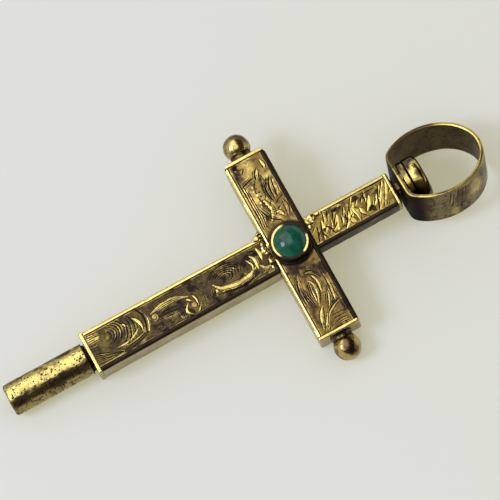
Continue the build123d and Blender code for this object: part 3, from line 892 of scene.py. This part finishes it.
def rim_dirt(node, axis, sign, wall):
    """Painted shade along the rim on the side that the light leaves dark, and on its wall."""
    low, high = node_box(node)

    def dirt(points):
        # painted shade on the rim and its wall on the side away from the light
        aside = sign * (points[:, axis] - (low + high)[axis] / 2)
        broken = 0.92 + 0.12 * ripple(points, 1.1, 49)
        on_rim = ramp(points[:, 2], high[2] - 0.4, high[2] - 0.2)
        outer = (high - low)[axis] / 2
        wall_shade = wall * ramp(aside, outer - 0.25, outer - 0.05) * (1.05 + 0.15 * ripple(points, 0.8, 50))
        return np.maximum(0.85 * on_rim * (aside > 0), wall_shade) * broken
    return dirt


def wear_boxes():
    """The three boxes and the plates that close their ends."""
    # the box, mesh size, axis across, the side the light falls on, seed, how far the rims fall, how bright
    # the rims are, and how dark the wall on the shaded side is painted, as painted shade
    for box, voxel, axis, sign, seed, fall, bright, wall in (
        ("lower_arm", 0.075, 1, 1, 41, 0.085, 1.0, 0.0),
        ("crossbar", 0.075, 0, -1, 43, 0.13, 1.0, 0.0),
        ("upper_arm", 0.06, 1, 1, 47, 0.05, 0.3, 0.75),
    ):
        node = f"{box}_channel"
        worn_piece(node, voxel, "box_gilt", rim_wear(node, axis, seed, fall),
                   gild=rim_gild(node, bright, axis, sign), dirt=rim_dirt(node, axis, -sign, wall))
    for node, seed in (("lower_arm_end_plate", 51), ("upper_arm_end_plug", 53), ("crossbar_end_left", 57),
                       ("crossbar_end_right", 59)):
        worn_piece(node, 0.045, "box_gilt", soft_wear(0.02, 0.8, seed), gild=rim_gild(node, 0.6), ease=2)


def pipe_wear(points):
    """Pits, a few deeper bites, and a mouth worn uneven."""
    pits = 0.05 * unit(ripple(points * [1.6, 1, 1], 0.24, 61) - 0.25)
    bites = 0.1 * unit(ripple(points, 0.5, 63) - 0.55)
    mouth = unit(1 - points[:, 0] / 0.7) * (0.03 + 0.03 * ripple(points, 0.8, 65))
    return pits + bites + mouth + soft_wear(0.02, 1.3, 67)(points)


def pipe_gild(points):
    return ramp(ripple(points, 0.7, 69) + 0.4 * ripple(points, 0.2, 71), -0.7, 0.3)


def pipe_dirt(points):
    """Dark where the neck meets the plate, in the socket, in stains and pits, and, as painted shade, in
    broken bands along the upper sides.
    """
    x, y, z = points.T
    neck = ramp(x, 8.3, 8.65)
    inside = ramp(np.hypot(y, z), 1.25, 1.1)
    stains = ramp(ripple(points, 0.9, 73) + 0.5 * ripple(points, 0.25, 75), 0.45, 0.9)
    # painted shade: broken dark bands on the upper half of each side, as the light falls
    upper = ramp(z + 0.3 * ripple(points, 0.6, 80), -0.2, 0.5)
    side = y + 0.25 * ripple(points, 0.5, 77)
    stripe = 0.4 + (0.22 + 0.2 * ripple(points, 0.4, 78)) * ramp(side, -1.35, -0.9)
    low_side_shade = stripe * ramp(side, -0.05, -0.5) * upper
    far_side_shade = ramp(y + 0.2 * ripple(points, 0.4, 79), 0.95, 1.35)
    far_side_shade *= upper * (0.6 + 0.3 * ripple(points, 0.35, 82))
    crowd = ramp(ripple(points, 1.3, 64) + 0.4 * ripple(points, 0.5, 66), -0.7, 0.5)
    grains = ripple(points * [1.6, 1, 1], 0.24, 61) + 0.7 * ripple(points, 0.1, 62)
    specks = 0.55 * crowd * ramp(grains, 0.0, 0.9)
    return np.max([neck, inside, 0.6 * stains, low_side_shade, far_side_shade, specks], axis=0)


def groove_dirt(points):
    """Darker in the groove between the swivel's washer and its head."""
    groove = node_box("swivel_head")[0][0]
    return 0.95 * ramp(abs(points[:, 0] - groove), 0.16, 0.05)


def crown_dirt(points):
    """Darker over the face of the swivel's head, deepest in the middle of its crown."""
    crown = node_box("swivel_head")[1][0]
    return 0.9 * ramp(points[:, 0], crown - 0.5, crown)


def patchy(most, cell, seed, low, high):
    """Brightness or grime in soft patches."""
    return lambda points: most * ramp(ripple(points, cell, seed), low, high)


def wear_turned_pieces():
    """The pipe, the finials, the collet and the swivel's pieces."""
    worn_piece("winding_pipe", 0.05, "pipe_metal", pipe_wear, gild=pipe_gild, dirt=pipe_dirt)
    for side, seed in (("left", 81), ("right", 83)):
        worn_piece(f"finial_ball_{side}", 0.035, "finial_gilt", soft_wear(0.05, 0.9, seed), ease=6,
                   gild=patchy(1, 0.8, seed + 5, -0.5, 0.4), dirt=patchy(0.6, 1.0, seed + 6, 0.0, 0.7))
        worn_piece(f"finial_collar_{side}", 0.03, "finial_gilt", soft_wear(0.015, 0.5, seed + 7), ease=3,
                   dirt=lambda points: 0.55 + 0.3 * ripple(points, 0.3, seed + 9))
    rim = node_box("collet_bezel")[1][2]
    worn_piece("collet_foot", 0.03, "collet_gilt", soft_wear(0.02, 0.5, 91), ease=2,
               dirt=lambda points: 0.75 + 0.3 * ripple(points, 0.3, 92))
    middle = np.mean(node_box("cabochon"), axis=0)

    def highlight_crescents(points):
        """A painted highlight on the lip: on the left, and less on the lower right."""
        x, y = (points - middle)[:, :2].T
        angle = np.degrees(np.arctan2(y, x))
        left = unit(1 - abs((angle - 150 + 180) % 360 - 180) / 75)
        lower = 0.7 * unit(1 - abs(angle + 35) / 40)
        lip = ramp(np.hypot(x, y), 1.84, 1.76)
        return ramp(left + lower, 0.0, 0.35) * ramp(points[:, 2], rim - 0.14, rim - 0.06) * lip

    # the bezel painted gold in the highlight crescents and dark everywhere else, the dark as painted shade
    worn_piece("collet_bezel", 0.03, "collet_gilt", soft_wear(0.02, 0.7, 93), ease=2, gild=highlight_crescents,
               dirt=lambda points: 0.85 * (1 - highlight_crescents(points)))
    # the shoulder, in the gap at the arm's end, is painted dark all over, as painted shade
    worn_piece("swivel_shoulder", 0.03, "swivel_gilt", soft_wear(0.01, 0.5, 95),
               dirt=lambda points: np.ones(len(points)))
    worn_piece("swivel_washer", 0.045, "swivel_gilt", soft_wear(0.02, 0.8, 97), ease=2,
               gild=patchy(0.8, 0.9, 98, -0.4, 0.5), dirt=groove_dirt)
    worn_piece("swivel_head", 0.045, "swivel_gilt", soft_wear(0.03, 0.9, 99), ease=3,
               gild=patchy(0.8, 0.9, 100, -0.4, 0.5),
               dirt=lambda points: np.maximum(groove_dirt(points), crown_dirt(points)))


def bow_frame(points):
    """Points as seen from the bow's centre: along its reach, up its side and across its band."""
    cos_turn, sin_turn = math.cos(bow_turn), math.sin(bow_turn)
    cos_lean, sin_lean = math.cos(bow_lean), math.sin(bow_lean)
    axes = np.array([
        [cos_lean, -sin_lean * sin_turn, -sin_lean * cos_turn],
        [0, cos_turn, -sin_turn],
        [sin_lean, cos_lean * sin_turn, cos_lean * cos_turn],
    ])
    hole = np.array([(node_box("swivel_shoulder")[1][0] + node_box("swivel_washer")[0][0]) / 2, 0, 0])
    return (points - hole) @ axes.T - [bow_reach_to_hole, 0, 0]


def wear_bow():
    """The bow's band: its rims worn bright in places and painted with highlight where they catch the light,
    its inside dark, and painted shade where it faces the arm.
    """
    def inside(points):
        reach, side, _ = bow_frame(points).T
        within = np.hypot(reach / band_reach, side / band_half_height) < 1
        return within & (reach > 0.15 - bow_reach_to_hole)

    def scratches(points):
        """Scratches that run across the band's outer face, where it bends away from the arm."""
        reach, side, across = bow_frame(points).T
        angle = np.degrees(np.arctan2(side, reach))
        marks = np.zeros(len(points))
        for middle, low, high in (
            (-97, 0.2, 1.7), (-94, -0.4, 1.3), (-86, 0.5, 1.8), (-82, -0.9, 1.5), (-74, 0.3, 1.6),
        ):
            gap = angle - middle - 2.5 * (across - low)
            marks = np.maximum(marks, np.exp(-(gap / 1.3) ** 2) * (across > low) * (across < high))
        return 0.7 * marks * ~inside(points)

    def gild(points):
        reach, side, across = bow_frame(points).T
        angle = np.degrees(np.arctan2(side, reach))
        # rims bright in three arcs: wear, with painted highlight where they catch the light
        rubbed_and_highlit = np.full(len(points), 0.15)
        for middle, spread, share in ((25, 50, 1.0), (-60, 45, 0.6), (-150, 45, 1.0)):
            rubbed_and_highlit = np.maximum(rubbed_and_highlit, share * ramp(abs(angle - middle), spread, spread * 0.6))
        rims = ramp(abs(across), 1.82, 1.98) * rubbed_and_highlit
        outside = 0.55 * ramp(ripple(points, 1.6, 113), 0.0, 0.9) * ramp(reach, -2.0, 0.0)
        patch = np.hypot((angle + 56) / 13, (across - 0.3) / 1.5) + 0.3 * ripple(points, 0.5, 123)
        outside = np.maximum(outside, 0.6 * ramp(patch, 1.3, 0.4))
        return np.where(inside(points), rims, np.maximum(rims, outside))

    def dirt(points):
        reach, side, across = bow_frame(points).T
        # painted shade on the outer face, where it faces the arm
        shade_by_arm = ramp(reach + 0.3 * ripple(points, 0.8, 121), -1.2, -3.6)
        shade_by_arm *= ~inside(points) * ramp(across, 2.02, 1.9)
        # painted shade on the upper rim
        upper_rim_shade = 0.5 * ramp(abs(across), 1.85, 1.98) * (side > 1) * ramp(reach, 3.0, 1.5)
        stains = np.maximum(0.45 * ramp(ripple(points, 1.4, 119), 0.0, 0.8), upper_rim_shade)
        inner = 0.52 * inside(points) * ramp(abs(across), 2.0, 1.85)
        return np.max([0.95 * shade_by_arm, inner, stains, scratches(points)], axis=0)

    def wear(points):
        dents = 0.05 * unit(ripple(points, 1.2, 115) - 0.35)
        return dents + 0.03 * scratches(points) + soft_wear(0.02, 1.8, 117)(points)

    worn_piece("bow_ring", 0.065, "bow_bronze", wear, body="bow", gild=gild, dirt=dirt)


def lathe_stone():
    """The polished stone: a straight girdle under a round dome."""
    low, high = node_box("cabochon")
    radius = (high[0] - low[0]) / 2
    centre = (low + high) / 2
    rise, girdle, eased = 0.75, 0.38, 0.03
    sphere = (radius**2 + rise**2) / (2 * rise)
    profile = [(radius - eased, low[2]), (radius, low[2] + eased), (radius, low[2] + girdle - 0.02)]
    for share in np.linspace(1, 0, 32)[:-1]:
        bend = share * math.asin(radius / sphere)
        profile.append((sphere * math.sin(bend), high[2] - sphere * (1 - math.cos(bend))))
    angles = np.linspace(0, 2 * math.pi, 128, endpoint=False)
    x, y = centre[:2]
    points = [(x + r * math.cos(a), y + r * math.sin(a), z) for r, z in profile for a in angles]
    index = np.arange(len(points)).reshape(len(profile), -1)
    faces = quads(np.hstack([index, index[:, :1]]).T)
    faces.append(index[0, ::-1].tolist())
    faces += [[index[-1, k], index[-1, (k + 1) % len(angles)], len(points)] for k in range(len(angles))]
    points.append((x, y, high[2]))
    mesh = build_mesh("cabochon_stone", points, faces)
    as_piece("cabochon_stone", mesh, "green_stone", ["cabochon"], sharp=60)


def solder(name, places, flat, seed):
    """A lump of solder that ran together from several drops, uneven and full of small holes; places has
    each drop's centre and radius, and flat says how low the drops are for their width."""
    points, faces = [], []
    for x, y, z, radius in places:
        shape = bmesh.new()
        bmesh.ops.create_icosphere(shape, subdivisions=3, radius=1)
        ball = np.array([vertex.co for vertex in shape.verts])
        faces += [[vertex.index + len(points) for vertex in face.verts] for face in shape.faces]
        shape.free()
        points += (ball * [radius, radius, radius * flat] + [x, y, z]).tolist()
    mesh = fine_copy(build_mesh(name, points, faces), 0.03, smooth_rounds=4)
    mesh.name = name
    points, normals = mesh_points(mesh)
    lumps = 0.06 * ripple(points, 0.4, seed) - 0.08 * unit(ripple(points, 0.25, seed + 1) - 0.2)
    set_points(mesh, points + normals * lumps[:, None])
    paint(mesh, "gild", patchy(0.9, 0.35, seed + 2, -0.6, 0.2)(points))
    paint(mesh, "dirt", patchy(0.8, 0.25, seed + 1, 0.1, 0.5)(points))
    paint_relief(mesh, rounds=6, full=0.01)
    as_piece(name, mesh, "box_gilt", [], sharp=180)


def solder_joints():
    """Solder left in the corners where the arms meet the cross bar."""
    face = node_box("lower_arm_face")[1][2] - 0.07
    seam = node_box("crossbar_channel")[0][0] - 0.3
    dice = np.random.default_rng(131)
    drops = ((1.45, 0.2), (1.2, 0.26), (0.9, 0.2), (0.6, 0.32), (0.3, 0.24), (-0.05, 0.2), (-0.35, 0.28),
             (-0.65, 0.34), (-0.95, 0.26), (-1.2, 0.2), (-1.45, 0.15))
    places = [(seam + dice.normal(0, 0.06), y, face, radius) for y, radius in drops]
    solder("solder_long_arm", places, 0.6, 133)
    corner = node_box("lower_arm_channel")[1][2] - 0.1
    solder("solder_left_corner", [
        (28.1, 1.95, corner, 0.3), (28.35, 2.0, corner, 0.36), (28.6, 2.15, corner - 0.1, 0.4),
        (28.68, 2.4, corner - 0.3, 0.3)], 0.6, 135)
    face = node_box("upper_arm_face")[1][2] - 0.06
    solder("solder_short_arm", [
        (33.45, 1.1, face, 0.42), (33.75, 1.3, face, 0.4), (34.15, 1.3, face, 0.36), (34.55, 1.35, face, 0.3),
        (34.9, 1.3, face, 0.24), (35.15, 1.15, face, 0.18), (33.4, 0.6, face, 0.3), (33.75, 0.8, face, 0.3)],
        0.42, 137)


def dress_plain_nodes():
    """The CAD nodes that stay as they are, for they hardly show."""
    for node in ("spigot_block", "stone_bearer", "post_block", "swivel_post"):
        give_material(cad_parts[node].data, looks["inner_brass"])


dress_plain_nodes()
engrave_lower_arm()
engrave_crossbar()
engrave_upper_arm()
wear_boxes()
wear_turned_pieces()
wear_bow()
lathe_stone()
solder_joints()


# Floor, lamps and camera


def floor_plane():
    """The floor that the key lies on: it touches the pipe's mouth, a ball and the bow."""
    w = Wiring(bpy.data.materials.new("floor_pale"))
    matt = w.add("ShaderNodeBsdfDiffuse", {"Color": (0.80, 0.85, 1.0)})
    glow = w.add("ShaderNodeEmission", {"Color": (0.75, 0.70, 0.38)})
    clear = w.add("ShaderNodeBsdfTransparent")
    below = w.add("ShaderNodeNewGeometry").outputs["Backfacing"]
    glow_share = 0.42
    pale = w.join(w.times(w.shown(), glow_share), matt.outputs[0], glow.outputs[0])
    w.add("ShaderNodeOutputMaterial", {"Surface": w.join(below, pale, clear.outputs[0])})

    pipe_radius = node_box("winding_pipe")[1][2]
    ball_low, ball_high = node_box("finial_ball_right")
    ball_radius = (ball_high[2] - ball_low[2]) / 2
    ball = np.array([(ball_low[0] + ball_high[0]) / 2, ball_low[1] + ball_radius, 0])
    bow = np.array([v.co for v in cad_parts["bow_ring"].data.vertices]) / MM
    normal = np.array([0.036, 0.098, 0.994])    # near the answer, so that each round comes nearer
    for _ in range(20):
        normal /= np.linalg.norm(normal)
        across = normal[1:] / np.linalg.norm(normal[1:])
        tip = np.array([0, *(-pipe_radius * across)])
        rests = [tip, ball - ball_radius * normal, bow[np.argmin(bow @ normal)]]
        normal = np.cross(rests[1] - rests[0], rests[2] - rests[0])
        normal *= np.sign(normal[2])
    normal /= np.linalg.norm(normal)
    middle = Vector(np.mean(rests, axis=0) * MM)
    reach = 0.9    # metres
    mesh = bpy.data.meshes.new("floor")
    corners = [(-reach, -reach, 0), (reach, -reach, 0), (reach, reach, 0), (-reach, reach, 0)]
    mesh.from_pydata(corners, [], [(0, 1, 2, 3)])
    give_material(mesh, w.owner)
    lean = Vector((0, 0, 1)).rotation_difference(Vector(normal)).to_matrix().to_4x4()
    floor = stand("floor", mesh, Matrix.Translation(middle) @ lean)


back = camera_back.normalized()
level_right = (Vector((1, 0, 0)) - back * back.x).normalized()
level_up = back.cross(level_right)
right = level_right * math.cos(camera_roll) - level_up * math.sin(camera_roll)
up = level_right * math.sin(camera_roll) + level_up * math.cos(camera_roll)


def put_camera():
    camera = bpy.data.cameras.new("camera")
    camera.lens = camera_lens
    camera.sensor_width = film_width
    camera.clip_start = 0.01
    camera.clip_end = 10
    turn = Matrix((right, up, back)).transposed().to_4x4()
    place = (camera_aim + back * camera_distance) * MM
    bpy.context.scene.camera = stand("camera", camera, Matrix.Translation(place) @ turn)


def softbox(name, rightward, upward, backward, distance, size, radiance, color=(1, 1, 1), lights_floor=True):
    """A square lamp that faces the key, placed by directions in the picture."""
    lamp = bpy.data.lights.new(name, "AREA")
    lamp.shape = "SQUARE"
    lamp.size = size * MM
    lamp.energy = radiance * math.pi * (size * MM) ** 2
    lamp.color = color
    direction = (right * rightward + up * upward + back * backward).normalized()
    turn = direction.to_track_quat("Z", "Y").to_matrix().to_4x4()
    place = Matrix.Translation((camera_aim + direction * distance) * MM) @ turn
    stand(name, lamp, place).visible_diffuse = lights_floor


def dark_board():
    """A dark board over the key's lower right side and down beside it, as the room there: only the metal
    mirrors it."""
    w = Wiring(bpy.data.materials.new("board_brown"))
    matt = w.add("ShaderNodeBsdfDiffuse", {"Color": (0.10, 0.08, 0.06)})
    w.add("ShaderNodeOutputMaterial", {"Surface": matt.outputs[0]})
    edge_x, edge_y, far, over, down = 200, -230, 1600, 600, -100
    corners = [(-far, -far), (far, -far), (far, far), (edge_x, far), (edge_x, edge_y), (-far, edge_y)]
    points = [(x, y, over) for x, y in corners] + [(-far, -far, down), (far, -far, down)]
    mesh = build_mesh("dark_board", points, [(0, 1, 4, 5), (1, 2, 3, 4), (0, 6, 7, 1)])
    give_material(mesh, w.owner)
    piece = stand("dark_board", mesh)
    piece.visible_camera = False
    piece.visible_diffuse = False
    piece.visible_shadow = False


def room():
    """An even pale room, in which the world lights the key a little less than it shows."""
    world = bpy.data.worlds.new("room")
    bpy.context.scene.world = world
    w = Wiring(world)
    seen = w.add("ShaderNodeBackground", {"Color": (0.80, 0.80, 0.73)})
    lit = w.add("ShaderNodeBackground", {"Color": (1.0, 0.985, 0.91), "Strength": 0.65})
    w.add("ShaderNodeOutputWorld", {"Surface": w.join(w.shown(), lit.outputs[0], seen.outputs[0])})


floor_plane()
put_camera()
dark_board()
softbox("lamp_overhead", -0.137, 0.27, 0.953, distance=600, size=290, radiance=1.35, lights_floor=False)
softbox("lamp_upper_left", -0.5, 0.62, 0.6, distance=320, size=280, radiance=1.5, lights_floor=False)
softbox("lamp_window", -0.70, -0.03, 0.71, distance=420, size=150, radiance=9.5, color=(0.95, 0.985, 1.2))
room()
bpy.context.scene.view_settings.view_transform = "Standard"
